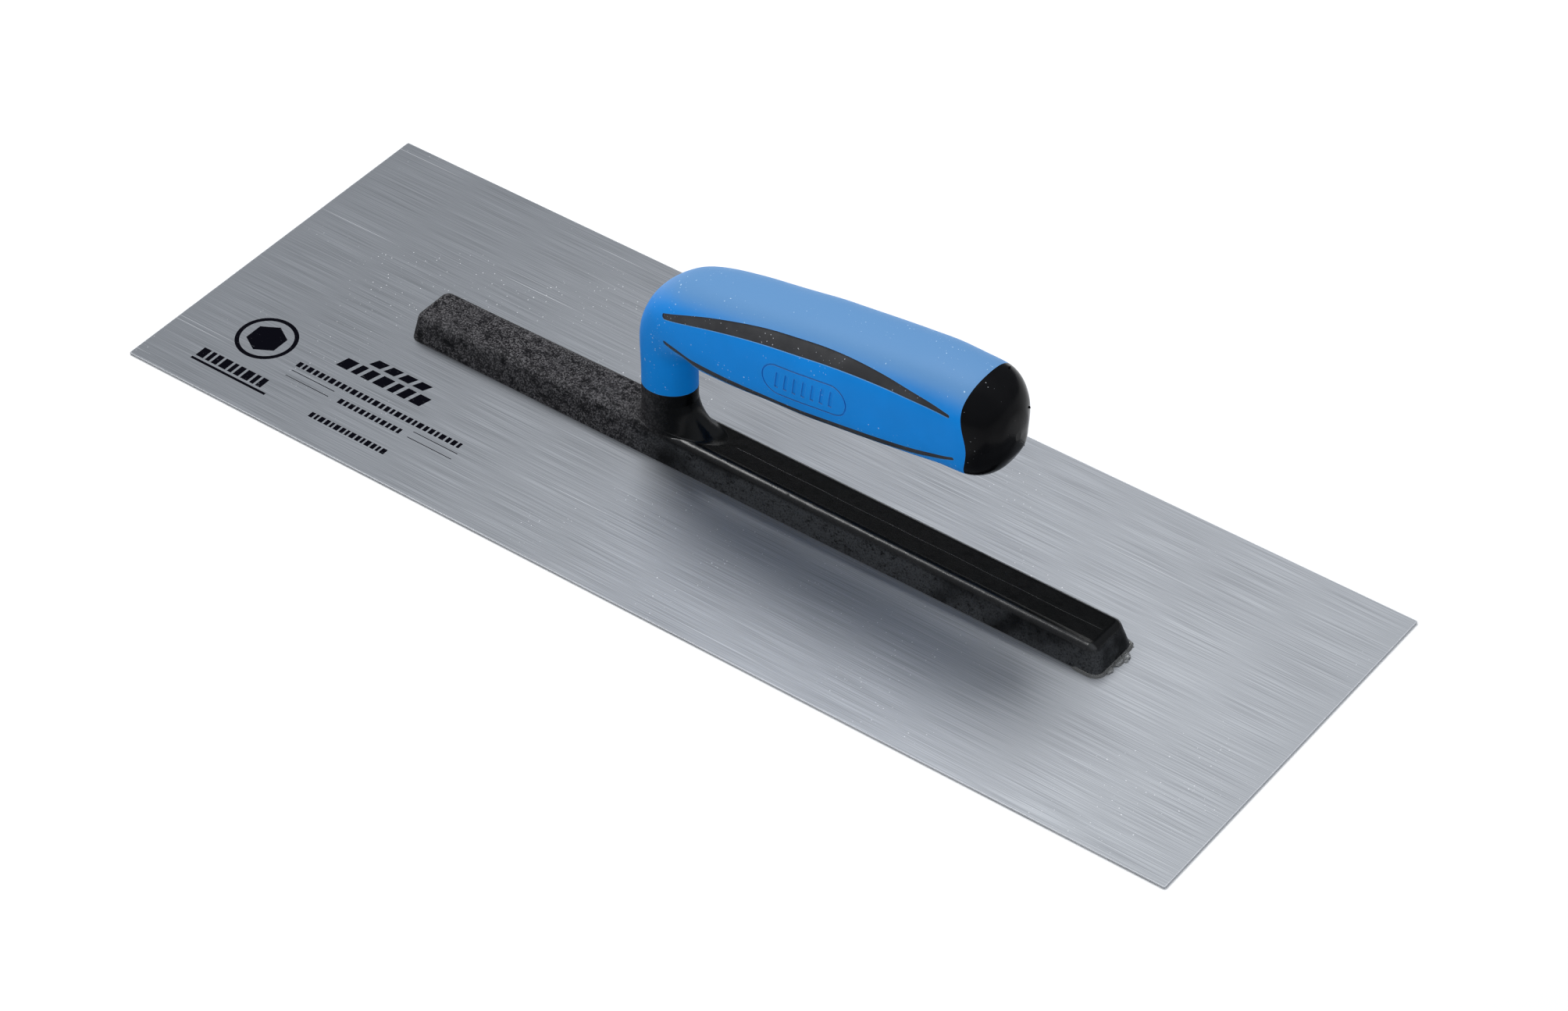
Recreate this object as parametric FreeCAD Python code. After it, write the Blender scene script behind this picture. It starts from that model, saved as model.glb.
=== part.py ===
"""Steel finishing trowel: flat blade, bonded nylon beam, and a two-colour handgrip.

Frame: millimetres, origin at the centre of the blade's working face, +X along the
blade towards the grip's free end, +Y across the blade, +Z up from the working face.
"""
import FreeCAD, Part
import math
import os
from FreeCAD import Placement, Rotation, Vector

# Blade
BLADE_LENGTH = 400.0
BLADE_WIDTH = 140.0
BLADE_THICKNESS = 0.8
BLADE_CORNER_RADIUS = 0.7
BLADE_EDGE_BREAK = 0.15

# Adhesive between the blade and the beam
BOND_THICKNESS = 0.2
FILM_INSET = 0.3
BEAD_REACH = 0.8
BEAD_HEIGHT = 0.8
BEAD_START_X = 126.0

# Beam
BEAM_LEFT_X = -132.2
BEAM_RIGHT_X = 136.6
BEAM_FOOT_HALF_WIDTH = 9.9
BEAM_TOP_HALF_WIDTH = 7.6
BEAM_TOP_Z = 11.9
BEAM_PEAK_X = -27.0
BEAM_LEFT_FALL = 0.0145
BEAM_RIGHT_FALL = 0.0068
BEAM_LEFT_RAKE = 1.7
BEAM_RIGHT_RAKE = 3.6
BEAM_CORNER_RADIUS = 3.2
BEAM_TOP_FILLET = 2.9
BEAM_TRIM = 0.5
BEAM_RIM_REACH = 2.5
BEAM_PEAK_REACH = 1.0
FLARE_LEFT_RADIUS = 5.0
FLARE_RIGHT_RADIUS = 12.5
FLARE_STEPS = 8
SADDLE_ROOT_HALF_WIDTH = 8.15
SADDLE_BITE = 0.15
BEAM_WALL = 2.4
BEAM_ROOF = 3.0
RIB_THICKNESS = 1.8
POCKET_CORNER_RADIUS = 1.0
POCKET_DRAFT = 0.5
SOLID_REACH_UNDER_POST = 14.0

# Studs welded to the blade, which key the beam
STUD_COUNT = 8
STUD_FIRST_X = -119.0
STUD_LAST_X = 121.0
STUD_RADIUS = 1.5
STUD_RING_RADIUS = 1.9
STUD_RING_HEIGHT = 0.8
STUD_RING_PITCH = 1.9
STUD_RING_COUNT = 3
STUD_HEIGHT = 6.4
BOSS_BORE_RADIUS = 2.1
BOSS_BORE_HEADROOM = 0.4
BOSS_RADIUS = 4.6

# Grip: a line up the post, a bend, a straight run, and a slow droop at the free end
POST_X = -32.6
GRIP_TILT = math.radians(7.4)
GRIP_AXIS_Z_AT_ORIGIN = 61.75
BEND_RADIUS = 21.0
DROOP_START_X = 66.0
DROOP_RADIUS = 130.0
POST_SKIRT = 26.0
POST_SKIRT_MIDDLE = 8.7
CAP_START_X = 84.0
GRIP_END_X = 97.8
CAP_ROUNDNESS = 2.2
CAP_RAKE = 0.19
CAP_GROOVE_DEPTH = 0.8
CAP_FLAT_TIP = 0.12
CAP_TIP_SHARE = 0.35
CAP_GROOVE_PLACE = -0.30
CAP_GROOVE_SPREAD = 0.30

# Grip sections: station, half width across, half height, squareness
POST_SECTION = (7.5, 9.9, 2.0)
LOW_BEND_SECTION = (7.8, 9.9, 2.05)
BEND_SECTIONS = ((0.32, 9.8, 10.8, 2.2), (0.65, 12.8, 13.4, 2.35), (1.0, 14.9, 15.6, 2.5))
RUN_SECTIONS = ((0.0, 15.7, 16.7, 2.6), (15.0, 16.1, 17.2, 2.6), (30.0, 16.6, 17.8, 2.6),
                (50.0, 16.6, 17.8, 2.6), (70.0, 16.3, 17.6, 2.6), (82.0, 15.9, 17.2, 2.5))

# Layers of the grip, measured inwards from its skin
SLEEVE_THICKNESS = 2.6
INLAY_RECESS = 0.25
INLAY_BACK = 1.5
INLAY_START = -14.0
INLAY_TIP_GAP = 4.0
CORE_WALL = 3.4
CORE_FOOT = 2.0
CORE_TIP_GAP = 3.0
CORE_BORE_START_X = 2.0
CORE_BORE_TIP_GAP = 6.0
SPIGOT_CLEARANCE = 0.15
SPIGOT_LENGTH = 21.0
SPIGOT_TIP_GAP = 6.5
SPIGOT_WALL = 2.6
SLEEVE_FOOT_Z = 25.8
SIDE_REACH = 30.0
STRIP_END_BULGE = 0.4

# Oval badge pressed into both sides of the sleeve, with plain slanted ribs inside it
BADGE_X = 31.3
BADGE_Z = 65.6
BADGE_LENGTH = 32.0
BADGE_HEIGHT = 11.4
BADGE_LINE = 0.5
BADGE_DEPTH = 0.35
BADGE_RIB_COUNT = 7
BADGE_RIB_PITCH = 3.4
BADGE_RIB_WIDTH = 1.3
BADGE_RIB_HEIGHT = 6.0
BADGE_RIB_SLANT = 15.0

# How finely the grip's skin is laid out
POINTS_ROUND_SECTION = 24
SECTION_SPACING = 7.0
BEND_SPACING = 4.5
CAP_SECTIONS = 8
FAR = 400.0

BEND_TURN = math.pi / 2.0 - GRIP_TILT
AXIS_MEETS_POST_Z = GRIP_AXIS_Z_AT_ORIGIN + math.tan(GRIP_TILT) * POST_X
BEND_START_Z = AXIS_MEETS_POST_Z - BEND_RADIUS * math.tan(BEND_TURN / 2.0)
BEND_LENGTH = BEND_RADIUS * BEND_TURN
FOOT_Z = BLADE_THICKNESS + BOND_THICKNESS


def run_start():
    """Point where the bend ends and the straight run of the grip begins."""
    x = POST_X + BEND_RADIUS * (1.0 - math.cos(BEND_TURN))
    z = BEND_START_Z + BEND_RADIUS * math.sin(BEND_TURN)
    return x, z


def station(x):
    """Distance along the grip's centre line, from the foot of the bend to the point over x."""
    return BEND_LENGTH + (x - run_start()[0]) / math.cos(GRIP_TILT)


def centre_line(s):
    """Point on the centre line at distance s, and the slope angle there."""
    if s <= 0.0:
        return POST_X, BEND_START_Z + s, math.pi / 2.0
    if s <= BEND_LENGTH:
        turned = s / BEND_RADIUS
        x = POST_X + BEND_RADIUS * (1.0 - math.cos(turned))
        z = BEND_START_Z + BEND_RADIUS * math.sin(turned)
        return x, z, math.pi / 2.0 - turned
    x0, z0 = run_start()
    run = min(s - BEND_LENGTH, station(DROOP_START_X) - BEND_LENGTH)
    x = x0 + run * math.cos(GRIP_TILT)
    z = z0 + run * math.sin(GRIP_TILT)
    drooped = (s - BEND_LENGTH - run) / DROOP_RADIUS
    slope = GRIP_TILT - drooped
    x += DROOP_RADIUS * (math.sin(GRIP_TILT) - math.sin(slope))
    z -= DROOP_RADIUS * (math.cos(GRIP_TILT) - math.cos(slope))
    return x, z, slope


def section_table():
    """Stations along the grip with their half width, half height and squareness."""
    rows = [(-POST_SKIRT,) + POST_SECTION, (-POST_SKIRT_MIDDLE,) + POST_SECTION]
    rows.append((0.0,) + LOW_BEND_SECTION)
    for share, width, height, squareness in BEND_SECTIONS:
        rows.append((share * BEND_LENGTH, width, height, squareness))
    for x, width, height, squareness in RUN_SECTIONS:
        rows.append((station(x), width, height, squareness))
    return rows


def section_at(s):
    """Half width, half height and squareness at s, eased between the stations."""
    rows = section_table()
    s = min(max(s, rows[0][0]), rows[-1][0])
    index = 0
    while index < len(rows) - 2 and rows[index + 1][0] < s:
        index += 1
    low, high = rows[index], rows[index + 1]
    share = (s - low[0]) / (high[0] - low[0])
    result = []
    for column in (1, 2, 3):
        span = high[0] - low[0]
        start = slope_at(rows, index, column) * span
        end = slope_at(rows, index + 1, column) * span
        rise = high[column] - low[column]
        bend = 3.0 * rise - 2.0 * start - end
        twist = start + end - 2.0 * rise
        result.append(low[column] + start * share + bend * share ** 2 + twist * share ** 3)
    return result


def slope_at(rows, index, column):
    """Slope of a section size at a station, flat at peaks so that it never overshoots."""
    if index in (0, len(rows) - 1):
        return 0.0
    before, here, after = rows[index - 1], rows[index], rows[index + 1]
    left = (here[column] - before[column]) / (here[0] - before[0])
    right = (after[column] - here[column]) / (after[0] - here[0])
    if left * right <= 0.0:
        return 0.0
    return 2.0 * left * right / (left + right)


def cap_share(s):
    """How far s lies through the rounded end: 0 at its start, 1 at the tip."""
    first, last = station(CAP_START_X), station(GRIP_END_X)
    return min(max((s - first) / (last - first), 0.0), 1.0)


def grip_section(s, inset):
    """Ring of points round the grip at distance s, inset inwards from the skin."""
    x, z, slope = centre_line(s)
    half_width, half_height, squareness = section_at(s)
    share = cap_share(s)
    shrink = (1.0 - share ** CAP_ROUNDNESS) ** (1.0 / CAP_ROUNDNESS)
    half_width = (half_width - inset) * shrink
    half_height = (half_height - inset) * shrink
    power = 2.0 / squareness
    groove_depth = 0.0
    if inset == 0.0:
        groove_depth = CAP_GROOVE_DEPTH * share * max(shrink - CAP_FLAT_TIP, 0.0)
    points = []
    for index in range(POINTS_ROUND_SECTION):
        angle = 2.0 * math.pi * index / POINTS_ROUND_SECTION
        off_groove = (math.cos(angle) - CAP_GROOVE_PLACE) / CAP_GROOVE_SPREAD
        groove = groove_depth * math.exp(-off_groove ** 2)
        narrowed = half_width - groove
        up = math.copysign(abs(math.cos(angle)) ** power, math.cos(angle)) * half_height
        across = math.copysign(abs(math.sin(angle)) ** power, math.sin(angle)) * narrowed
        raked_x = x - up * (math.sin(slope) + CAP_RAKE * share) - groove * share
        points.append(Vector(raked_x, across, z + up * math.cos(slope)))
    return points


def sewn_solid(faces):
    """Solid closed by faces that meet along their edges."""
    shell = Part.Shell(faces)
    shell.sewShape()
    solid = Part.Solid(shell)
    if solid.Volume < 0.0:
        solid.reverse()
    return solid


def skinned_solid(rings, distances):
    """Solid with a smooth skin through rings of points, and flat ends."""
    around = []
    for points in rings:
        ring = Part.BSplineCurve()
        ring.interpolate(Points=points, PeriodicFlag=True,
                         Parameters=[float(index) for index in range(len(points) + 1)])
        around.append(ring)
    along = []
    for index in range(1, around[0].NbPoles + 1):
        rail = Part.BSplineCurve()
        rail.interpolate(Points=[ring.getPole(index) for ring in around], Parameters=distances)
        along.append(rail)
    surface = Part.BSplineSurface()
    surface.buildFromPolesMultsKnots(
        [rail.getPoles() for rail in along],
        around[0].getMultiplicities(), along[0].getMultiplicities(),
        around[0].getKnots(), along[0].getKnots(), True, False, 3, 3)
    ends = [Part.Face(Part.Wire([surface.vIso(v).toShape()])) for v in (distances[0], distances[-1])]
    return sewn_solid([surface.toShape()] + ends)


def grip_solid(inset, first, last):
    """Solid of the grip between two distances, inset inwards from the skin."""
    stops = []
    cap_start = station(CAP_START_X)
    stretches = ((first, 0.0, SECTION_SPACING), (0.0, BEND_LENGTH, BEND_SPACING),
                 (BEND_LENGTH, cap_start, SECTION_SPACING))
    for low, high, spacing in stretches:
        low, high = max(low, first), min(high, last)
        if high <= low:
            continue
        count = max(1, round((high - low) / spacing))
        stops += [low + (high - low) * index / count for index in range(count)]
    stops.append(min(last, cap_start))
    if last > cap_start:
        for index in range(1, CAP_SECTIONS + 1):
            quarter = 0.5 * math.pi * index / (CAP_SECTIONS + CAP_TIP_SHARE)
            stops.append(cap_start + (last - cap_start) * math.sin(quarter))
    return skinned_solid([grip_section(s, inset) for s in stops], stops)


def side_prism(wire, near_y, far_y):
    """Solid swept across the trowel from a closed outline drawn in the XZ plane."""
    face = Part.Face(wire)
    face.translate(Vector(0, near_y, 0))
    return face.extrude(Vector(0, far_y - near_y, 0))


def spline(points):
    """Smooth edge through points in the XZ plane."""
    curve = Part.BSplineCurve()
    curve.interpolate([Vector(x, 0, z) for x, z in points])
    return curve.toShape()


def line(start, end):
    """Straight edge between two points in the XZ plane."""
    return Part.makeLine(Vector(start[0], 0, start[1]), Vector(end[0], 0, end[1]))


def strip_outline(top, bottom):
    """Closed outline between two edges that run the same way, with rounded ends."""
    far_end = end_arc(top[-1], bottom[-1], STRIP_END_BULGE)
    near_end = end_arc(bottom[0], top[0], -STRIP_END_BULGE)
    return Part.Wire([spline(top), far_end, spline(bottom[::-1]), near_end])


def end_arc(start, end, bulge_share):
    """Round end of a strip, bulging along the trowel by a share of the strip's width."""
    bulge = bulge_share * math.hypot(end[0] - start[0], end[1] - start[1])
    middle = Vector(0.5 * (start[0] + end[0]) + bulge, 0, 0.5 * (start[1] + end[1]))
    arc = Part.Arc(Vector(start[0], 0, start[1]), middle, Vector(end[0], 0, end[1]))
    return arc.toShape()


def upper_strip():
    """Outline of the long strip on the grip's upper shoulder."""
    top = [(-25.3, 64.7), (-9.3, 71.6), (8.0, 76.4), (34.0, 81.1), (61.0, 82.7), (82.6, 80.7)]
    bottom = [(-24.6, 63.0), (-8.2, 68.5), (14.0, 73.5), (46.0, 78.4), (68.0, 79.9), (82.6, 79.7)]
    return strip_outline(top, bottom)


def lower_strip():
    """Outline of the strip on the grip's lower shoulder, which turns under the grip."""
    top = [(-25.0, 54.2), (-5.0, 53.8), (21.6, 54.9), (48.0, 58.3), (70.0, 61.9), (85.0, 66.2)]
    bottom = [(-24.4, 51.9), (-14.0, 50.4), (15.0, 50.2), (45.0, 53.2), (70.0, 58.9), (85.0, 64.9)]
    return strip_outline(top, bottom)


def beyond_cap_seam():
    """Everything beyond the wavy seam where the sleeve ends and the cap begins."""
    heights = ((24.0, 86.0), (17.0, 86.2), (13.5, 86.1), (7.5, 87.6), (0.0, 89.3),
               (-7.5, 88.3), (-13.5, 87.0), (-17.0, 86.6), (-24.0, 86.4))
    axis_z = GRIP_AXIS_Z_AT_ORIGIN + math.tan(GRIP_TILT) * DROOP_START_X
    seam = [(x, axis_z + up) for up, x in heights]
    far_x = GRIP_END_X + SIDE_REACH
    edges = [spline(seam), line(seam[-1], (far_x, seam[-1][1]))]
    edges.append(line((far_x, seam[-1][1]), (far_x, seam[0][1])))
    edges.append(line((far_x, seam[0][1]), seam[0]))
    return side_prism(Part.Wire(edges), -SIDE_REACH, SIDE_REACH)


def below_sleeve():
    """Half space under the sleeve's foot, which is cut parallel to the grip."""
    block = Part.makeBox(FAR, FAR, FAR, Vector(-FAR / 2.0, -FAR / 2.0, -FAR))
    tilt = Rotation(Vector(0, 1, 0), -math.degrees(GRIP_TILT))
    block.Placement = Placement(Vector(POST_X, 0, SLEEVE_FOOT_Z), tilt)
    return block


def rounded_rectangle(left, right, half_width, radius, z):
    """Horizontal rectangle with rounded corners, as a wire."""
    low, high = -half_width, half_width
    corners = [(right - radius, low + radius, -90.0), (right - radius, high - radius, 0.0),
               (left + radius, high - radius, 90.0), (left + radius, low + radius, 180.0)]
    arcs = []
    for x, y, start in corners:
        arc = Part.makeCircle(radius, Vector(x, y, z), Vector(0, 0, 1), start, start + 90.0)
        arcs.append(arc)
    edges = []
    for index, arc in enumerate(arcs):
        following = arcs[(index + 1) % len(arcs)]
        edges.append(arc)
        edges.append(Part.makeLine(arc.Vertexes[-1].Point, following.Vertexes[0].Point))
    return Part.Wire(edges)


def blade():
    outline = rounded_rectangle(-BLADE_LENGTH / 2.0, BLADE_LENGTH / 2.0, BLADE_WIDTH / 2.0,
                                BLADE_CORNER_RADIUS, 0.0)
    sheet = Part.Face(outline).extrude(Vector(0, 0, BLADE_THICKNESS))
    rims = []
    for edge in sheet.Edges:
        if edge.Vertexes[0].Z == edge.Vertexes[-1].Z:
            rims.append(edge)
    return sheet.makeChamfer(BLADE_EDGE_BREAK, rims)


def stud_places():
    """Stations of the welded studs along the blade."""
    step = (STUD_LAST_X - STUD_FIRST_X) / (STUD_COUNT - 1)
    return [STUD_FIRST_X + step * index for index in range(STUD_COUNT)]


def stud(x):
    """One stud standing on the blade, turned in one piece with its rings."""
    ring_low = BLADE_THICKNESS + STUD_RING_PITCH - STUD_RING_HEIGHT
    profile = [Vector(0, 0, BLADE_THICKNESS), Vector(STUD_RADIUS, 0, BLADE_THICKNESS)]
    for index in range(STUD_RING_COUNT):
        low = ring_low + STUD_RING_PITCH * index
        high = low + STUD_RING_HEIGHT
        for radius, z in ((STUD_RADIUS, low), (STUD_RING_RADIUS, low),
                          (STUD_RING_RADIUS, high), (STUD_RADIUS, high)):
            profile.append(Vector(radius, 0, z))
    top_z = BLADE_THICKNESS + STUD_HEIGHT
    profile += [Vector(STUD_RADIUS, 0, top_z), Vector(0, 0, top_z), profile[0]]
    face = Part.Face(Part.makePolygon(profile))
    shape = face.revolve(Vector(0, 0, 0), Vector(0, 0, 1), 360.0)
    shape.translate(Vector(x, 0, 0))
    return shape


def weld_studs():
    return Part.makeCompound([stud(x) for x in stud_places()])


def stud_bores(radius):
    """Plain round holes over the studs."""
    depth = STUD_HEIGHT + BOSS_BORE_HEADROOM
    return [Part.makeCylinder(radius, depth, Vector(x, 0, BLADE_THICKNESS)) for x in stud_places()]


def beam_half(side, fall):
    """One end of the bar, from under the post to its tip, with its top falling to the tip."""
    foot = rounded_rectangle(BEAM_LEFT_X, BEAM_RIGHT_X, BEAM_FOOT_HALF_WIDTH,
                             BEAM_CORNER_RADIUS, FOOT_Z)
    top = rounded_rectangle(BEAM_LEFT_X + BEAM_LEFT_RAKE, BEAM_RIGHT_X - BEAM_RIGHT_RAKE,
                            BEAM_TOP_HALF_WIDTH, BEAM_CORNER_RADIUS, BEAM_TOP_Z + BEAM_TRIM)
    bar = Part.makeLoft([foot, top], True, True)
    other_end = Part.makeBox(FAR, FAR, FAR, Vector(0, -FAR / 2.0, -FAR / 2.0))
    if side > 0:
        other_end.translate(Vector(-FAR, 0, 0))
    other_end.translate(Vector(BEAM_PEAK_X, 0, 0))
    lid = Part.makeBox(FAR, FAR, FAR, Vector(-FAR / 2.0, -FAR / 2.0, 0))
    tilt = Rotation(Vector(0, 1, 0), math.degrees(math.atan(fall)) * side)
    lid.Placement = Placement(Vector(BEAM_PEAK_X, 0, BEAM_TOP_Z), tilt)
    bar = bar.cut(other_end).cut(lid)
    rim = []
    for edge in bar.Edges:
        box = edge.BoundBox
        at_peak = abs(box.Center.x - BEAM_PEAK_X) < BEAM_PEAK_REACH
        if box.ZMin > BEAM_TOP_Z - BEAM_RIM_REACH and not at_peak:
            rim.append(edge)
    return bar.makeFillet(BEAM_TOP_FILLET, rim)


def beam_outer():
    """Drafted bar with rounded corners and a rounded rim, highest under the post."""
    return beam_half(-1, BEAM_LEFT_FALL).fuse(beam_half(1, BEAM_RIGHT_FALL))


def beam_cavities():
    """Cored pockets on the underside, parted by ribs, one pocket between two studs."""
    places = stud_places()
    roof_z = BEAM_TOP_Z - BEAM_ROOF
    half_foot = BEAM_FOOT_HALF_WIDTH - BEAM_WALL
    half_roof = BEAM_TOP_HALF_WIDTH - BEAM_WALL
    pockets = []
    for left, right in zip(places[:-1], places[1:]):
        low_x, high_x = left + BOSS_RADIUS, right - BOSS_RADIUS
        middle = 0.5 * (low_x + high_x)
        rib_left, rib_right = middle - RIB_THICKNESS / 2.0, middle + RIB_THICKNESS / 2.0
        for start, end in ((low_x, rib_left), (rib_right, high_x)):
            foot = rounded_rectangle(start, end, half_foot, POCKET_CORNER_RADIUS, FOOT_Z)
            roof = rounded_rectangle(start + POCKET_DRAFT, end - POCKET_DRAFT, half_roof,
                                     POCKET_CORNER_RADIUS, roof_z)
            pockets.append(Part.makeLoft([foot, roof], True, True))
    return [pocket for pocket in pockets if not under_post(pocket)]


def under_post(pocket):
    """The moulding is left solid where the post stands on it."""
    box = pocket.BoundBox
    return abs(box.Center.x - POST_X) < SOLID_REACH_UNDER_POST + box.XLength / 2.0


def saddle():
    """Flared root that carries the post down into the beam, flush with the beam's sides."""
    top_z = BEAM_TOP_Z + FLARE_RIGHT_RADIUS
    wires = []
    for index in range(FLARE_STEPS + 1):
        turned = 0.5 * math.pi * index / FLARE_STEPS
        z = top_z - FLARE_RIGHT_RADIUS * math.sin(turned)
        spread_right = FLARE_RIGHT_RADIUS * (1.0 - math.cos(turned))
        drop = max(BEAM_TOP_Z + FLARE_LEFT_RADIUS - z, 0.0)
        spread_left = FLARE_LEFT_RADIUS - math.sqrt(max(FLARE_LEFT_RADIUS ** 2 - drop ** 2, 0.0))
        left_reach = POST_SECTION[1] + spread_left - SADDLE_BITE
        right_reach = POST_SECTION[1] + spread_right - SADDLE_BITE
        half_width = POST_SECTION[0] + SADDLE_BITE * (2.0 * index / FLARE_STEPS - 1.0)
        wires.append(flat_oval(left_reach, right_reach, half_width, z))
    flare = Part.makeLoft(wires, False, False)
    root_z = BEAM_TOP_Z - BEAM_TOP_FILLET
    root = flat_oval(left_reach, right_reach, SADDLE_ROOT_HALF_WIDTH, root_z)
    skirt = Part.makeLoft([wires[-1], root], False, True)
    return sewn_solid(flare.Faces + skirt.Faces + [Part.Face(wires[0]), Part.Face(root)])


def flat_oval(left_reach, right_reach, half_width, z):
    """Horizontal oval round the post's axis: half an ellipse to each side of it."""
    centre = Vector(POST_X, 0, z)
    halves = []
    for reach, start in ((right_reach, -90.0), (left_reach, 90.0)):
        major, minor = max(reach, half_width), min(reach, half_width)
        ellipse = Part.Ellipse(centre, major, minor)
        halves.append(ellipse.toShape(math.radians(start), math.radians(start + 180.0)))
    return Part.Wire(halves)


def spine_beam(skin, core, foot_space, beyond_seam):
    """Beam, post and hollow core in one moulding."""
    bar = beam_outer()
    bar = bar.cut(Part.makeCompound(beam_cavities()))
    bar = bar.cut(Part.makeCompound(stud_bores(BOSS_BORE_RADIUS)))
    root = saddle()
    post = skin.common(foot_space)
    bore_first, bore_last = station(CORE_BORE_START_X), station(GRIP_END_X) - CORE_BORE_TIP_GAP
    bore = grip_solid(SLEEVE_THICKNESS + CORE_WALL, bore_first, bore_last)
    whole = bar.fuse([root, post, core.cut(beyond_seam)]).cut(bore)
    return whole.removeSplitter()


def outside(prism, inset):
    """The part of a prism that lies outside the grip at an inset."""
    return prism.cut(grip_solid(inset, INLAY_START, station(GRIP_END_X) - INLAY_TIP_GAP))


def badge_cut(side):
    """Stadium groove and slanted ribs, as a cutter for one side of the sleeve."""
    ring = stadium(BADGE_LENGTH, BADGE_HEIGHT)
    hollow = stadium(BADGE_LENGTH - 2.0 * BADGE_LINE, BADGE_HEIGHT - 2.0 * BADGE_LINE)
    reach = SIDE_REACH * side
    cutter = side_prism(ring, 0.0, reach).cut(side_prism(hollow, 0.0, reach))
    ribs = []
    for index in range(BADGE_RIB_COUNT):
        x = (index - 0.5 * (BADGE_RIB_COUNT - 1)) * BADGE_RIB_PITCH
        corner = Vector(-BADGE_RIB_WIDTH / 2.0, min(reach, 0.0), -BADGE_RIB_HEIGHT / 2.0)
        rib = Part.makeBox(BADGE_RIB_WIDTH, SIDE_REACH, BADGE_RIB_HEIGHT, corner)
        rib.rotate(Vector(0, 0, 0), Vector(0, 1, 0), BADGE_RIB_SLANT)
        rib.translate(Vector(x, 0, 0))
        ribs.append(rib)
    cutter = Part.makeCompound([cutter] + ribs)
    tilt = Rotation(Vector(0, 1, 0), -math.degrees(GRIP_TILT))
    cutter.Placement = Placement(Vector(BADGE_X, 0, BADGE_Z), tilt)
    return cutter


def stadium(length, height):
    """Closed outline with straight long sides and half-round ends, in the XZ plane."""
    radius = height / 2.0
    reach = length / 2.0 - radius
    right = Part.Arc(Vector(reach, 0, -radius), Vector(reach + radius, 0, 0), Vector(reach, 0, radius))
    left = Part.Arc(Vector(-reach, 0, radius), Vector(-reach - radius, 0, 0), Vector(-reach, 0, -radius))
    return Part.Wire([right.toShape(), line((reach, radius), (-reach, radius)),
                      left.toShape(), line((-reach, -radius), (reach, -radius))])


def grip_sleeve(skin, core, foot_space, beyond_seam, windows):
    """Soft sleeve over the core, open in four windows."""
    sleeve = skin.cut(core).cut(foot_space).cut(beyond_seam)
    sleeve = sleeve.cut(Part.makeCompound(windows))
    for side in (-1, 1):
        sleeve = sleeve.cut(outside(badge_cut(side), BADGE_DEPTH))
    return sleeve


def end_cap(skin, beyond_seam):
    """Rounded cap with a hollow spigot that plugs into the core."""
    head = skin.common(beyond_seam)
    inset = SLEEVE_THICKNESS + CORE_WALL + SPIGOT_CLEARANCE
    cap_start = station(CAP_START_X)
    spigot_start = cap_start - SPIGOT_LENGTH
    spigot = grip_solid(inset, spigot_start, station(GRIP_END_X) - SPIGOT_TIP_GAP)
    bore = grip_solid(inset + SPIGOT_WALL, spigot_start - SPIGOT_WALL, cap_start)
    return head.fuse(spigot).cut(bore).removeSplitter()


def adhesive_bed():
    """Thin bond under the beam's rim, with a bead pressed out round the right end."""
    outline = rounded_rectangle(BEAM_LEFT_X + FILM_INSET, BEAM_RIGHT_X - FILM_INSET,
                                BEAM_FOOT_HALF_WIDTH - FILM_INSET, BEAM_CORNER_RADIUS,
                                BLADE_THICKNESS)
    film = Part.Face(outline).extrude(Vector(0, 0, BOND_THICKNESS))
    outer = rounded_rectangle(BEAD_START_X - BEAD_REACH, BEAM_RIGHT_X + BEAD_REACH,
                              BEAM_FOOT_HALF_WIDTH + BEAD_REACH,
                              BEAM_CORNER_RADIUS + BEAD_REACH, BLADE_THICKNESS)
    crest = rounded_rectangle(BEAD_START_X, BEAM_RIGHT_X, BEAM_FOOT_HALF_WIDTH,
                              BEAM_CORNER_RADIUS, BLADE_THICKNESS + BEAD_HEIGHT)
    bead = Part.makeLoft([outer, crest], True, True)
    bed = film.fuse(bead.cut(beam_outer()))
    bed = bed.cut(Part.makeCompound(stud_bores(BOSS_BORE_RADIUS)))
    return bed.removeSplitter()


def save(name, shape):
    """Write one sub-part as a STEP file."""
    if not shape.isValid():
        print("not valid:", name)
    solids = len(shape.Solids)
    print(f"{name}: {solids} solid(s), {shape.Volume / 1000.0:.2f} cm3")
    shape.exportStep(os.path.join("parts", name + ".step"))


def build():
    os.makedirs("parts", exist_ok=True)
    skin = grip_solid(0.0, -POST_SKIRT, station(GRIP_END_X))
    foot_space = below_sleeve()
    beyond_seam = beyond_cap_seam()
    recessed_skin = grip_solid(INLAY_RECESS, INLAY_START, station(GRIP_END_X) - INLAY_TIP_GAP)
    windows = []
    for strip_name, outline in (("upper_inlay", upper_strip()), ("lower_inlay", lower_strip())):
        for side_name, side in (("right", -1), ("left", 1)):
            window = outside(side_prism(outline, 0.0, SIDE_REACH * side), INLAY_BACK)
            windows.append(window)
            save(strip_name + "_" + side_name, window.common(recessed_skin))
    save("blade", blade())
    save("weld_studs", weld_studs())
    save("adhesive_bed", adhesive_bed())
    core = grip_solid(SLEEVE_THICKNESS, CORE_FOOT - POST_SKIRT, station(GRIP_END_X) - CORE_TIP_GAP)
    save("spine_beam", spine_beam(skin, core, foot_space, beyond_seam))
    save("grip_sleeve", grip_sleeve(skin, core, foot_space, beyond_seam, windows))
    save("end_cap", end_cap(skin, beyond_seam))


build()
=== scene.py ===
import itertools
import math
import random
import bmesh
import bpy
from mathutils import Matrix, Vector, noise
from mathutils.bvhtree import BVHTree


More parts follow.
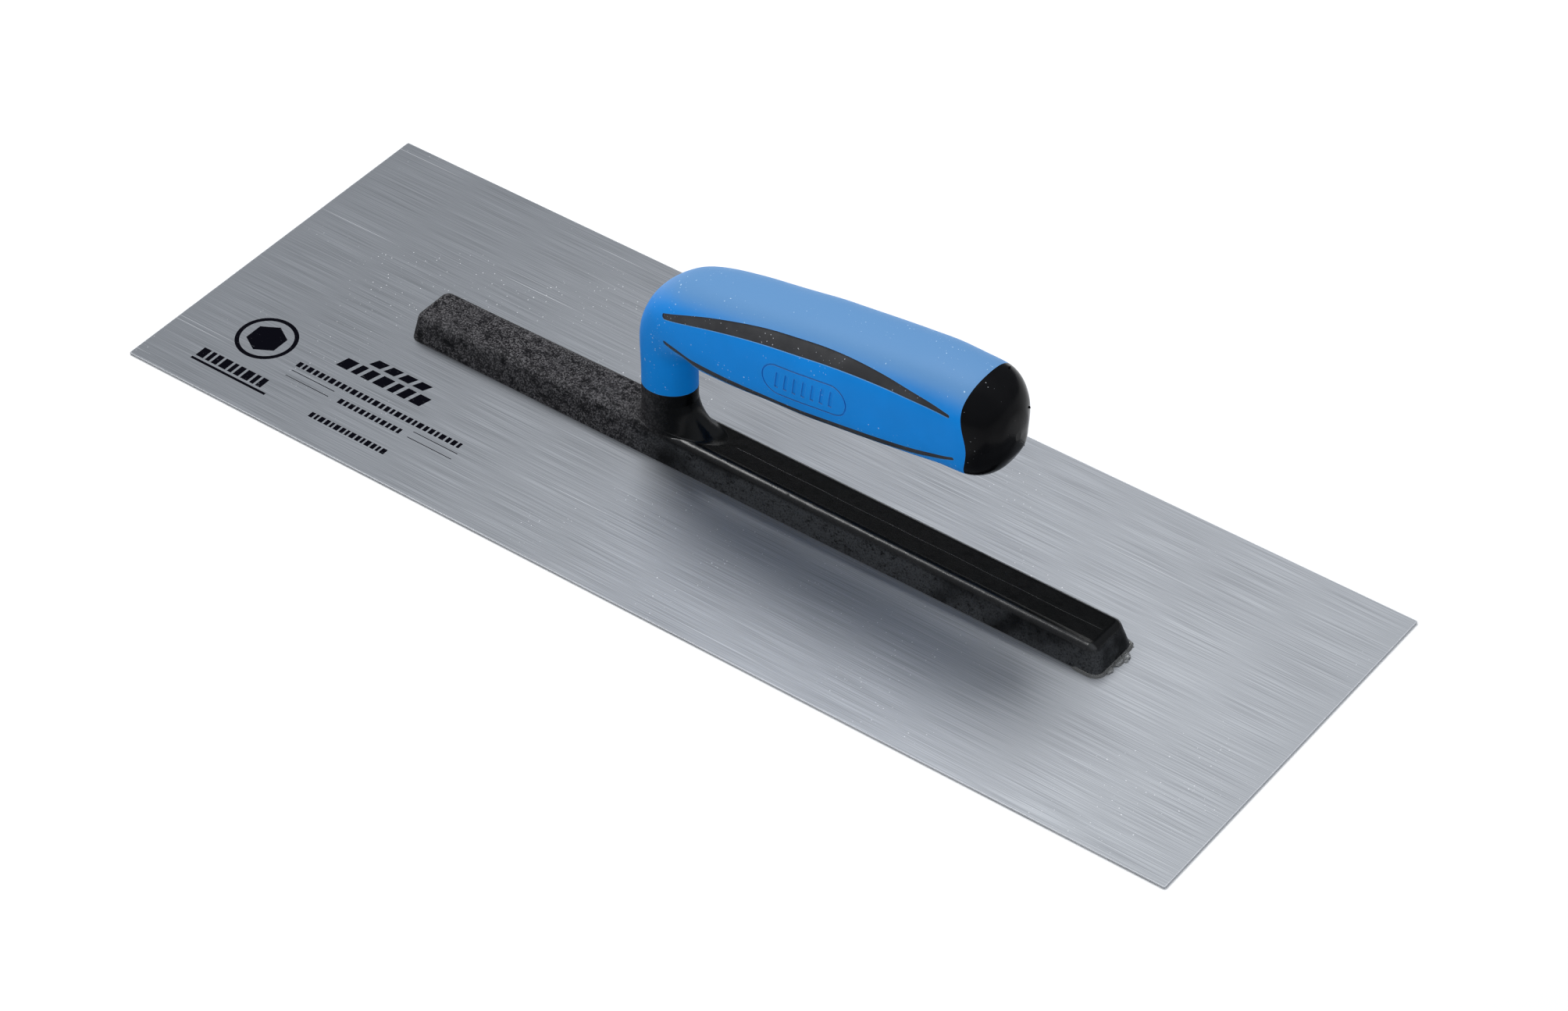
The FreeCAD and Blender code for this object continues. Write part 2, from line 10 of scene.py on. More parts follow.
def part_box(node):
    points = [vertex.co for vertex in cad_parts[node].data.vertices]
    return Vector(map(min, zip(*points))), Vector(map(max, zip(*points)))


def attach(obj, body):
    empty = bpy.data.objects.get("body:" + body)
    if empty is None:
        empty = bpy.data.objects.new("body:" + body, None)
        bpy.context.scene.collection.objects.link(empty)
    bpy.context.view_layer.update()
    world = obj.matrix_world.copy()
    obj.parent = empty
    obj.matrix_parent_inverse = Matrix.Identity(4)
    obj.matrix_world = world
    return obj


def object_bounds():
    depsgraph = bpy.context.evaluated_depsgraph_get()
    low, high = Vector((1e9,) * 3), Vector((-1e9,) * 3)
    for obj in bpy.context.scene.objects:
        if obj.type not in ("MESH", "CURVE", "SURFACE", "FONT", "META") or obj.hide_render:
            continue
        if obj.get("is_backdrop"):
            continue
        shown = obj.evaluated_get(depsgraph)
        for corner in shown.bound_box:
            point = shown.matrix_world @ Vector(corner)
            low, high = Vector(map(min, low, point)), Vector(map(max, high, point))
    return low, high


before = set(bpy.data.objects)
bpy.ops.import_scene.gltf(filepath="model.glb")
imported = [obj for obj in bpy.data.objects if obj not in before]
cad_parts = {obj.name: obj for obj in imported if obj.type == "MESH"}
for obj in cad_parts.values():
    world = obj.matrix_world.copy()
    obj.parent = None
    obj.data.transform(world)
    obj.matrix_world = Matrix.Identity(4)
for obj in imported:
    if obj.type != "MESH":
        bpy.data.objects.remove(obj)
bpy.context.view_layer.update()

MM = 0.001

# Camera: where it stands and the point on the blade that it looks at, in metres
CAMERA_PLACE = (0.6798, -0.9005, 0.9910)
CAMERA_AIM = (0.0142, -0.0030, 0.0008)
CAMERA_ROLL = math.radians(0.17)
LENS = 109.9
SENSOR = 36.0
NEAR_CLIP = 0.1
FAR_CLIP = 50.0

# Studio: a soft sky that is brightest high on the right, and two panels on the left. The one
# behind throws the beam's shadow forwards, and the one in front lights the beam's near edge.
# Places and sizes are in metres, and powers in watts.
SKY_DIRECTION = (0.50, -0.05, 0.85)
SKY_DIM = 0.28
SKY_BRIGHT = 0.86
SKY_TINT = (1.0, 1.05, 1.12, 1.0)
SKY_EDGE = 0.05
FLOOR_SIZE = 14.0
FLOOR_GAP = 0.05 * MM
BACK_PANEL = {"place": (-0.68, 0.54, 1.56), "size": 0.75, "power": 19.5}
FRONT_PANEL = {"place": (-0.85, -0.80, 1.25), "size": 0.45, "power": 5.5}

# Beam's finish: the stretches, in metres, over which it turns dusty towards the left end, over
# which its sides' powder begins below its top, and over which the post's flare takes over
BEAM_DUST_FADE = (-0.026, -0.047)
BEAM_SIDE_FADE = (0.0100, 0.0080)
BEAM_EDGE_FADE = (0.0122, 0.0118)
BEAM_SHINE = 0.14
MARK_SHINE = 0.95

# Print on the blade, in millimetres. A block is its left, low, right and high sides, and a row
# of bars is a block with the bars' widths, the gap between them and their slant.
INK_THICKNESS = 0.03
INK_SUNK = 0.01
EMBLEM_CENTRE = (-169.0, -38.0)
EMBLEM_RADIUS = 10.5
EMBLEM_RING = 1.5
EMBLEM_STEPS = 48
HEXAGON_RADIUS = 6.8
HEXAGON_TURN = math.radians(30.0)
HEADING_ROW = ((-182.0, -58.0, -151.0, -53.4), (3.0, 1.6, 2.2), 0.9, 0.0)
HEADING_RULE = (-182.5, -60.0, -151.0, -59.0)
TITLE_ROWS = (((-142.5, -34.6, -104.0, -29.6), (4.6, 2.6, 3.4), 1.5, 0.25),
              ((-134.0, -28.0, -106.0, -24.6), (4.4,), 1.6, 0.45))
SMALL_ROWS = (((-152.5, -42.9, -83.5, -40.4), (1.7, 1.1, 2.0, 1.4), 0.75, 0.0),
              ((-130.0, -48.8, -103.0, -46.4), (1.7, 1.2), 0.75, 0.0),
              ((-133.0, -59.4, -100.0, -56.9), (1.5, 1.0, 1.8), 0.7, 0.0))
RULE_SPANS = ((-152.0, -134.0), (-101.0, -83.0))
RULE_LOWS = (-45.3, -48.4)
RULE_THICKNESS = 0.28

# A height between the beam and the grip, in millimetres, to look down on the beam from
ABOVE_BEAM = 20.0

# Cutter marks along the beam's upper near edge, in millimetres. The edge is an arc, and the
# angles on it are measured from straight up.
MARK_SEED = 7
MARK_START_X = -4.0
MARK_END_GAP = 7.0
MARK_PITCH = 0.65
MARK_STEPS = 4
MARK_FADE_STEPS = 24.0
MARK_LEAST_DEPTH = 0.35
MARK_EDGE_RADIUS = 2.9
MARK_EDGE_CENTRE_Y = 4.75
MARK_LOW_ANGLE = math.radians(14.0)
MARK_HIGH_ANGLE = math.radians(74.0)
MARK_SHARES = (0.0, 0.17, 0.33, 0.5, 0.67, 0.83, 1.0)
MARK_HEIGHT = 0.14
MARK_SUNK = 0.02
MARK_BACK = 0.20

# Mould seam along the beam's top, left and right of the post, in millimetres. Its waves are
# pairs of a size and a rate per step.
PARTING_RUNS = {"left": (-129.0, -49.0), "right": (-7.0, 131.0)}
PARTING_STEPS = 160
PARTING_WIDTH = 0.30
PARTING_HEIGHT = 0.05
PARTING_WAVES = ((0.08, 0.21), (0.05, 0.083))

# Adhesive pressed out at the beam's right foot, in millimetres: distance past the beam, place
# across the blade, and half sizes along, across and up
ADHESIVE_DROPS = ((1.0, 3.6, 1.5, 1.3, 0.9), (0.9, 0.2, 1.2, 2.2, 0.7), (0.6, -4.6, 1.0, 1.6, 0.6),
                  (-1.2, 8.6, 1.6, 1.2, 0.7), (2.2, 1.9, 0.8, 0.7, 0.4))
ADHESIVE_RISE = 0.25
ADHESIVE_UNEVENNESS = 0.5

# Specks of flash on the cap, in millimetres: a point near the skin, and a size
CAP_NUBS = (((88.6, 8.9, 87.0), 0.42), ((96.6, 8.8, 75.0), 0.40), ((94.0, 7.0, 61.0), 0.45))
NUB_UNEVENNESS = 0.6

# Lumps: how finely they are divided, and how quickly their unevenness changes
BLOB_DIVISIONS = 4
BLOB_WAVE = 1.7


class Look:
    """A material being built: one principled shader and the nodes that feed it."""

    def __init__(self, name, **sockets):
        self.material = bpy.data.materials.new(name)
        self.material.use_nodes = True
        self.tree = self.material.node_tree
        self.shader = self.tree.nodes["Principled BSDF"]
        self.place = self.node("TexCoord").outputs["Object"]
        for socket, value in sockets.items():
            self.set(socket.replace("_", " "), value)

    def node(self, kind, **settings):
        made = self.tree.nodes.new("ShaderNode" + kind)
        for name, value in settings.items():
            setattr(made, name, value)
        return made

    def feed(self, socket, value):
        """Link value into a socket, or store it there if it is a number or a colour."""
        if isinstance(value, bpy.types.NodeSocket):
            self.tree.links.new(value, socket)
        elif isinstance(value, (tuple, list)) and socket.type == "RGBA":
            socket.default_value = (*value, 1.0)
        else:
            socket.default_value = value

    def set(self, socket, value):
        """Feed one of the shader's own sockets."""
        self.feed(self.shader.inputs[socket], value)

    def stretched(self, scale):
        """Place on the object, scaled along each axis."""
        mapping = self.node("Mapping")
        self.feed(mapping.inputs["Vector"], self.place)
        mapping.inputs["Scale"].default_value = scale
        return mapping.outputs["Vector"]

    def noise(self, scale, detail=2.0, roughness=0.5):
        """Noise with a number of cells per metre along each axis."""
        made = self.node("TexNoise")
        self.feed(made.inputs["Vector"], self.stretched(scale))
        made.inputs["Scale"].default_value = 1.0
        made.inputs["Detail"].default_value = detail
        made.inputs["Roughness"].default_value = roughness
        return made.outputs["Fac"]

    def span(self, value, low, high, to_low=0.0, to_high=1.0):
        """Smooth step of a value between two levels."""
        made = self.node("MapRange", interpolation_type="SMOOTHSTEP")
        self.feed(made.inputs["Value"], value)
        made.inputs["From Min"].default_value = low
        made.inputs["From Max"].default_value = high
        made.inputs["To Min"].default_value = to_low
        made.inputs["To Max"].default_value = to_high
        return made.outputs["Result"]

    def calculate(self, operation, first, second=0.0):
        made = self.node("Math", operation=operation)
        self.feed(made.inputs[0], first)
        self.feed(made.inputs[1], second)
        return made.outputs["Value"]

    def plus(self, first, second):
        return self.calculate("ADD", first, second)

    def times(self, first, second):
        return self.calculate("MULTIPLY", first, second)

    def blend(self, share, first, second):
        """Colour between two others."""
        made = self.node("Mix", data_type="RGBA")
        self.feed(made.inputs["Factor"], share)
        self.feed(made.inputs[6], first)
        self.feed(made.inputs[7], second)
        return made.outputs[2]

    def bump(self, height, depth, strength=1.0, normal=None):
        """Relief of a given depth in metres."""
        made = self.node("Bump")
        made.inputs["Strength"].default_value = strength
        made.inputs["Distance"].default_value = depth
        self.feed(made.inputs["Height"], height)
        if normal is not None:
            self.feed(made.inputs["Normal"], normal)
        return made.outputs["Normal"]

    def axis(self, name):
        """One coordinate of the place on the object, in metres."""
        split = self.node("SeparateXYZ")
        self.feed(split.inputs["Vector"], self.place)
        return split.outputs[name]

    def facing(self, name):
        """One coordinate of the direction that the surface faces."""
        split = self.node("SeparateXYZ")
        self.feed(split.inputs["Vector"], self.node("NewGeometry").outputs["Normal"])
        return split.outputs[name]

    def edges(self, radius):
        """1 on edges and 0 on open faces, from how far a rounded normal turns."""
        bevel = self.node("Bevel", samples=4)
        bevel.inputs["Radius"].default_value = radius
        flat = self.node("NewGeometry")
        agreement = self.node("VectorMath", operation="DOT_PRODUCT")
        self.feed(agreement.inputs[0], bevel.outputs["Normal"])
        self.feed(agreement.inputs[1], flat.outputs["Normal"])
        return self.span(agreement.outputs["Value"], 0.99, 0.90)


def brushed_steel():
    """Brushed lengthwise. The tone rises along the blade to stand in for uneven studio light."""
    look = Look("brushed_blade_steel", Metallic=1.0, Anisotropic=0.35)
    fine = look.noise((30.0, 5200.0, 1.0), detail=1.0, roughness=0.6)
    middle = look.noise((9.0, 1800.0, 1.0), detail=3.0)
    cloud = look.noise((11.0, 18.0, 1.0), detail=3.0)
    scratch = look.noise((13.0, 2200.0, 1.0), detail=0.0)
    dust = look.noise((1500.0, 1500.0, 1.0), detail=0.0)
    patches = look.noise((16.0, 16.0, 1.0), detail=2.0)
    lengthwise_rise = look.span(look.axis("X"), -0.17, 0.20)
    dark = look.blend(lengthwise_rise, (0.113, 0.120, 0.130), (0.213, 0.223, 0.238))
    light = look.blend(lengthwise_rise, (0.190, 0.200, 0.216), (0.352, 0.366, 0.386))
    tone = look.blend(look.span(fine, 0.30, 0.70), dark, light)
    tone = look.blend(look.span(middle, 0.34, 0.66, 0.0, 0.16), tone, light)
    tone = look.blend(look.span(cloud, 0.30, 0.75, 0.0, 0.25), tone, light)
    tone = look.blend(look.span(scratch, 0.80, 0.86, 0.0, 0.7), tone, (0.40, 0.41, 0.43))
    specks = look.times(look.span(dust, 0.80, 0.84), look.span(patches, 0.50, 0.60))
    tone = look.blend(specks, tone, (0.55, 0.56, 0.58))
    # Painted highlight: the blade's edges are painted much lighter, standing in for light caught
    # on their rounded arrises
    edge = look.edges(0.5 * MM)
    look.set("Base Color", look.blend(edge, tone, (0.62, 0.63, 0.65)))
    look.set("Roughness", look.span(middle, 0.25, 0.75, 0.56, 0.63))
    across_blade = look.node("CombineXYZ")
    across_blade.inputs["Y"].default_value = 1.0
    look.set("Tangent", across_blade.outputs["Vector"])
    look.set("Normal", look.bump(fine, 0.012 * MM, 0.5, look.bump(middle, 0.02 * MM, 0.08)))
    return look.material


def stud_steel():
    """Plain turned steel."""
    look = Look("stud_steel", Metallic=1.0)
    lathe = look.noise((300.0, 300.0, 9000.0), detail=2.0)
    look.set("Base Color", look.blend(lathe, (0.36, 0.35, 0.34), (0.60, 0.59, 0.57)))
    look.set("Roughness", look.span(lathe, 0.3, 0.7, 0.30, 0.48))
    look.set("Normal", look.bump(lathe, 0.02 * MM, 0.4))
    return look.material


def nylon_tone(look, dusty, grain, blotch):
    """Grey speckle left of the post, and near black right of it with powder on the sides."""
    cloud = look.noise((48.0, 70.0, 70.0), detail=3.0)
    side = look.span(look.axis("Z"), *BEAM_SIDE_FADE, 0.03, 1.00)
    speckle = look.times(look.span(grain, 0.42, 0.66), look.span(blotch, 0.36, 0.52))
    smear = look.times(look.span(cloud, 0.34, 0.62), look.span(blotch, 0.34, 0.68))
    left_tone = look.blend(speckle, (0.003, 0.003, 0.004), (0.120, 0.115, 0.118))
    left_tone = look.blend(look.times(smear, 0.25), left_tone, (0.065, 0.063, 0.067))
    powder = look.times(look.span(cloud, 0.28, 0.56), look.span(grain, 0.20, 0.60))
    powder = look.times(powder, look.span(blotch, 0.32, 0.46))
    right_tone = look.blend(look.times(powder, side), (0.0012, 0.0014, 0.0015),
                            (0.050, 0.052, 0.055))
    tone = look.blend(dusty, right_tone, left_tone)
    return look.blend(look.times(look.edges(0.5 * MM), 0.15), tone, (0.09, 0.09, 0.092))


def nylon_shine(look, dusty, shine):
    """Dull on flat tops, and shinier on the rounded edges right of the post."""
    across = look.calculate("ABSOLUTE", look.facing("Y"))
    rounded = look.times(look.span(across, 0.30, 0.50), look.span(look.facing("Z"), 0.35, 0.55))
    rounded = look.times(rounded, look.span(look.axis("Z"), *BEAM_EDGE_FADE))
    burnished = look.times(rounded, look.calculate("SUBTRACT", 1.0, dusty))
    level = look.span(look.facing("Z"), 0.930, 0.985, shine, 0.04)
    return look.plus(level, look.times(burnished, 0.45))


def black_nylon(name, shine):
    """Satin moulded nylon, dusty and mottled."""
    look = Look(name, IOR=1.50)
    grain = look.noise((1700.0, 1700.0, 1700.0), detail=2.0, roughness=0.8)
    blotch = look.noise((300.0, 420.0, 420.0), detail=5.0, roughness=0.75)
    dusty = look.span(look.axis("X"), *BEAM_DUST_FADE)
    look.set("Base Color", nylon_tone(look, dusty, grain, blotch))
    rough = look.plus(look.span(blotch, 0.35, 0.65, 0.20, 0.27), look.times(dusty, 0.33))
    look.set("Roughness", rough)
    look.set("Specular IOR Level", nylon_shine(look, dusty, shine))
    relief = look.bump(blotch, 0.08 * MM, 0.18)
    look.set("Normal", look.bump(grain, 0.04 * MM, 0.35, relief))
    return look.material


def soft_touch_blue():
    """Matte elastomer. It is paler where it faces up to stand in for the light on its top."""
    look = Look("blue_soft_touch", IOR=1.48, Specular_IOR_Level=0.12)
    skin = look.noise((3000.0, 3000.0, 3000.0), detail=2.0)
    cloud = look.noise((60.0, 60.0, 60.0), detail=3.0)
    dust = look.noise((1500.0, 1500.0, 1500.0), detail=0.0)
    tone = look.blend(look.span(cloud, 0.3, 0.7), (0.0, 0.205, 0.630), (0.0, 0.225, 0.690))
    tone = look.blend(look.span(look.facing("Z"), 0.35, 0.95), tone, (0.105, 0.245, 0.460))
    edge = look.edges(0.35 * MM)
    tone = look.blend(look.times(edge, 0.4), tone, (0.08, 0.26, 0.60))
    specks = look.times(look.span(dust, 0.80, 0.83), look.span(cloud, 0.5, 0.6))
    tone = look.blend(specks, tone, (0.45, 0.60, 0.75))
    look.set("Base Color", tone)
    look.set("Roughness", look.span(skin, 0.3, 0.7, 0.46, 0.56))
    look.set("Sheen Weight", 0.06)
    look.set("Sheen Roughness", 0.38)
    look.set("Normal", look.bump(skin, 0.02 * MM, 0.45))
    return look.material


def dark_inlay():
    """Matte dark grey elastomer with pale dust."""
    look = Look("dark_inlay", IOR=1.48, Specular_IOR_Level=0.25)
    skin = look.noise((2600.0, 2600.0, 2600.0), detail=2.0)
    cloud = look.noise((120.0, 120.0, 120.0), detail=2.0)
    dust = look.noise((1900.0, 1900.0, 1900.0), detail=0.0)
    tone = look.blend(look.span(cloud, 0.3, 0.7), (0.026, 0.026, 0.028), (0.040, 0.040, 0.042))
    specks = look.times(look.span(dust, 0.80, 0.84), look.span(cloud, 0.40, 0.50))
    look.set("Base Color", look.blend(specks, tone, (0.45, 0.46, 0.48)))
    look.set("Roughness", look.span(skin, 0.3, 0.7, 0.50, 0.62))
    look.set("Normal", look.bump(skin, 0.02 * MM, 0.4))
    return look.material


def gloss_black():
    """Polished black plastic with a few specks of dust."""
    look = Look("gloss_black_cap", IOR=1.50, Specular_IOR_Level=0.07)
    skin = look.noise((2200.0, 2200.0, 2200.0), detail=2.0)
    cloud = look.noise((90.0, 90.0, 90.0), detail=3.0)
    dust = look.noise((1500.0, 1500.0, 1500.0), detail=0.0)
    tone = look.blend(look.span(cloud, 0.3, 0.7), (0.0015, 0.0015, 0.002), (0.0035, 0.0035, 0.004))
    specks = look.times(look.span(dust, 0.80, 0.83), look.span(cloud, 0.5, 0.6))
    look.set("Base Color", look.blend(specks, tone, (0.35, 0.36, 0.37)))
    look.set("Roughness", look.span(cloud, 0.3, 0.7, 0.16, 0.24))
    look.set("Normal", look.bump(skin, 0.03 * MM, 0.3))
    return look.material


def clear_adhesive():
    """Cured adhesive, clear and a little cloudy."""
    look = Look("clear_adhesive", IOR=1.47, Transmission_Weight=0.92)
    cloud = look.noise((300.0, 300.0, 300.0), detail=3.0)
    look.set("Base Color", look.blend(cloud, (0.80, 0.80, 0.76), (0.93, 0.93, 0.91)))
    look.set("Roughness", look.span(cloud, 0.3, 0.7, 0.08, 0.22))
    look.set("Normal", look.bump(cloud, 0.08 * MM, 0.5))
    return look.material


def black_ink():
    """Matte printing ink, worn thin in places."""
    look = Look("black_ink", Specular_IOR_Level=0.0)
    wear = look.noise((700.0, 2400.0, 700.0), detail=3.0)
    tone = look.blend(look.span(wear, 0.68, 0.78), (0.003, 0.003, 0.005), (0.10, 0.105, 0.115))
    look.set("Base Color", tone)
    look.set("Roughness", look.span(wear, 0.3, 0.7, 0.42, 0.56))
    look.set("Normal", look.bump(wear, 0.01 * MM, 0.4))
    return look.material


def new_piece(name, mesh, material):
    """Add a mesh to the scene as a piece of the trowel."""
    made = bpy.data.objects.new(name, mesh)
    bpy.context.scene.collection.objects.link(made)
    made.data.materials.append(material)
    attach(made, "root")
    return made


def flat_print(name, outlines, material):
    """Thin layer of ink on the blade, from closed outlines in millimetres."""
    top_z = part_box("blade")[1].z
    drawing = bmesh.new()
    for outline in outlines:
        corners = [drawing.verts.new((x * MM, y * MM, top_z - INK_SUNK * MM)) for x, y in outline]
        face = drawing.faces.new(corners)
        raised = bmesh.ops.extrude_face_region(drawing, geom=[face])
        moved = [part for part in raised["geom"] if isinstance(part, bmesh.types.BMVert)]
        bmesh.ops.translate(drawing, verts=moved, vec=(0.0, 0.0, INK_THICKNESS * MM))
    bmesh.ops.recalc_face_normals(drawing, faces=drawing.faces)
    mesh = bpy.data.meshes.new(name)
    drawing.to_mesh(mesh)
    drawing.free()
    return new_piece(name, mesh, material)


def bar(left, low, right, high, slant=0.0):
    """Upright or slanted block."""
    lean = (high - low) * slant
    return [(left, low), (right, low), (right + lean, high), (left + lean, high)]


def bars(block, widths, gap, slant):
    """Row of bars that fills a block, with widths that repeat."""
    x, low, right, high = block
    made = []
    for width in itertools.cycle(widths):
        if x + width > right:
            return made
        made.append(bar(x, low, x + width, high, slant))
        x += width + gap


def circle(centre, radius, count, turn=0.0):
    """Points spaced evenly round a circle."""
    points = []
    for index in range(count):
        angle = turn + 2.0 * math.pi * index / count
        points.append((centre[0] + radius * math.cos(angle), centre[1] + radius * math.sin(angle)))
    return points


def ring(centre, radius, width, count):
    """Ring built from short blocks that touch."""
    outer = circle(centre, radius, count)
    inner = circle(centre, radius - width, count)
    made = []
    for index in range(count):
        following = (index + 1) % count
        made.append([inner[index], outer[index], outer[following], inner[following]])
    return made


def blade_print(material):
    """Plain geometric marks in place of a maker's print."""
    emblem = ring(EMBLEM_CENTRE, EMBLEM_RADIUS, EMBLEM_RING, EMBLEM_STEPS)
    emblem.append(circle(EMBLEM_CENTRE, HEXAGON_RADIUS, 6, HEXAGON_TURN))
    flat_print("print_emblem", emblem, material)
    flat_print("print_heading", bars(*HEADING_ROW) + [bar(*HEADING_RULE)], material)
    flat_print("print_title", [block for row in TITLE_ROWS for block in bars(*row)], material)
    flat_print("print_small", [block for row in SMALL_ROWS for block in bars(*row)], material)
    rules = []
    for left, right in RULE_SPANS:
        for low in RULE_LOWS:
            rules.append(bar(left, low, right, low + RULE_THICKNESS))
    flat_print("print_rules", rules, material)


def surface(node):
    """Search tree over a CAD node's faces."""
    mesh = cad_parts[node].data
    corners = [corner.co for corner in mesh.vertices]
    return BVHTree.FromPolygons(corners, [tuple(face.vertices) for face in mesh.polygons])


def crest(beam, x):
    """Height of the beam's top at a distance along it, in metres."""
    above = Vector((x, 0.0, ABOVE_BEAM * MM))
    return beam.ray_cast(above, Vector((0.0, 0.0, -1.0)))[0].z


def tube(name, rings, material):
    """Closed mesh through rings that have the same number of points."""
    drawing = bmesh.new()
    made = [[drawing.verts.new(point) for point in points] for points in rings]
    count = len(made[0])
    for near, far in zip(made[:-1], made[1:]):
        for index in range(count):
            following = (index + 1) % count
            drawing.faces.new((near[index], near[following], far[following], far[index]))
    drawing.faces.new(made[0][::-1])
    drawing.faces.new(made[-1])
    bmesh.ops.recalc_face_normals(drawing, faces=drawing.faces)
    mesh = bpy.data.meshes.new(name)
    drawing.to_mesh(mesh)
    drawing.free()
    mesh.shade_smooth()
    return new_piece(name, mesh, material)


def mark_ring(x, top_z, crest_height):
    """Outline across the strip of cutter marks, which follows the beam's rounded edge."""
    outer, inner = [], []
    for share in MARK_SHARES:
        angle = MARK_LOW_ANGLE + (MARK_HIGH_ANGLE - MARK_LOW_ANGLE) * share
        proud = crest_height * math.sin(math.pi * share) - MARK_SUNK
        for points, reach in ((outer, proud), (inner, -MARK_BACK)):
            radius = (MARK_EDGE_RADIUS + reach) * MM
            y = -MARK_EDGE_CENTRE_Y * MM - radius * math.sin(angle)
            z = top_z - MARK_EDGE_RADIUS * MM + radius * math.cos(angle)
            points.append((x, y, z))
    return outer + inner[::-1]


def tool_marks(beam, material):
    """Fine cutter marks that the mould left along the beam's near upper edge."""
    rng = random.Random(MARK_SEED)
    start = MARK_START_X * MM
    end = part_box("spine_beam")[1].x - MARK_END_GAP * MM
    spacing = MARK_PITCH * MM / MARK_STEPS
    steps = int((end - start) / spacing)
    depths = [rng.uniform(MARK_LEAST_DEPTH, 1.0) for _ in range(steps // MARK_STEPS + 2)]
    rings = []
    for step in range(steps):
        x = start + step * spacing
        wave = 0.5 - 0.5 * math.cos(2.0 * math.pi * step / MARK_STEPS)
        fade = min(1.0, step / MARK_FADE_STEPS, (steps - 1 - step) / MARK_FADE_STEPS)
        height = MARK_HEIGHT * wave * depths[step // MARK_STEPS] * fade
        rings.append(mark_ring(x, crest(beam, x), height))
    tube("beam_tool_marks", rings, material)


def parting_lines(beam, material):
    """Hairline ridge where the two halves of the mould met, along the beam's top."""
    profile = ((-PARTING_WIDTH / 2.0, -PARTING_HEIGHT), (-PARTING_WIDTH / 6.0, PARTING_HEIGHT),
               (PARTING_WIDTH / 6.0, PARTING_HEIGHT), (PARTING_WIDTH / 2.0, -PARTING_HEIGHT))
    for name, (start, end) in PARTING_RUNS.items():
        rings = []
        for step in range(PARTING_STEPS + 1):
            x = (start + (end - start) * step / PARTING_STEPS) * MM
            top_z = crest(beam, x)
            wander = sum(size * math.sin(rate * step) for size, rate in PARTING_WAVES)
            rings.append([(x, (wander + y) * MM, top_z + rise * MM) for y, rise in profile])
        tube("beam_parting_line_" + name, rings, material)


def blob(name, centre, reach, unevenness, material):
    """Small uneven round lump, with its centre and half sizes in metres."""
    drawing = bmesh.new()
    bmesh.ops.create_icosphere(drawing, subdivisions=BLOB_DIVISIONS, radius=1.0)
    for corner in drawing.verts:
        where = corner.co * BLOB_WAVE + Vector(centre) / MM
        swell = 1.0 + unevenness * noise.noise(where)
        corner.co = Vector(centre) + corner.co * Vector(reach) * swell
    mesh = bpy.data.meshes.new(name)
    drawing.to_mesh(mesh)
    drawing.free()
    mesh.shade_smooth()
    return new_piece(name, mesh, material)


def adhesive_drops(material):
    """Clear lumps of adhesive pressed out at the foot of the beam's right end."""
    blade_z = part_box("blade")[1].z
    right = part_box("spine_beam")[1].x
    for index, (beyond, y, length, width, height) in enumerate(ADHESIVE_DROPS):
        centre = (right + beyond * MM, y * MM, blade_z + ADHESIVE_RISE * height * MM)
        reach = (length * MM, width * MM, height * MM)
        blob(f"adhesive_drop_{index + 1}", centre, reach, ADHESIVE_UNEVENNESS, material)


def cap_nubs(material):
    """Specks of flash left where the cap was gated."""
    cap = surface("end_cap")
    for index, (target, size) in enumerate(CAP_NUBS):
        place = cap.find_nearest(Vector(target) * MM)[0]
        blob(f"cap_nub_{index + 1}", place, (size * MM,) * 3, NUB_UNEVENNESS, material)


def sky():
    """Soft sky that is dimmer away from its bright side, and plain white behind the trowel."""
    world = bpy.data.worlds.new("studio")
    bpy.context.scene.world = world
    world.use_nodes = True
    nodes, links = world.node_tree.nodes, world.node_tree.links
    direction = nodes.new("ShaderNodeTexCoord")
    facing = nodes.new("ShaderNodeVectorMath")
    facing.operation = "DOT_PRODUCT"
    facing.inputs[1].default_value = Vector(SKY_DIRECTION).normalized()
    links.new(direction.outputs["Generated"], facing.inputs[0])
    level = nodes.new("ShaderNodeMapRange")
    level.interpolation_type = "SMOOTHSTEP"
    level.inputs["From Min"].default_value = SKY_EDGE
    level.inputs["From Max"].default_value = 1.0
    level.inputs["To Min"].default_value = SKY_DIM
    level.inputs["To Max"].default_value = SKY_BRIGHT
    links.new(facing.outputs["Value"], level.inputs["Value"])
    ray = nodes.new("ShaderNodeLightPath")
    seen = nodes.new("ShaderNodeMath")
    seen.operation = "MAXIMUM"
    links.new(level.outputs["Result"], seen.inputs[0])
    links.new(ray.outputs["Is Camera Ray"], seen.inputs[1])
    background = nodes["Background"]
    background.inputs["Color"].default_value = SKY_TINT
    links.new(seen.outputs["Value"], background.inputs["Strength"])


def soft_panel(name, place, size, power):
    """Square lamp that faces the blade's centre."""
    light = bpy.data.lights.new(name, "AREA")
    light.size = size
    light.energy = power
    made = bpy.data.objects.new(name, light)
    made.location = place
    made.rotation_euler = Vector(place).to_track_quat("Z", "Y").to_euler()
    bpy.context.scene.collection.objects.link(made)


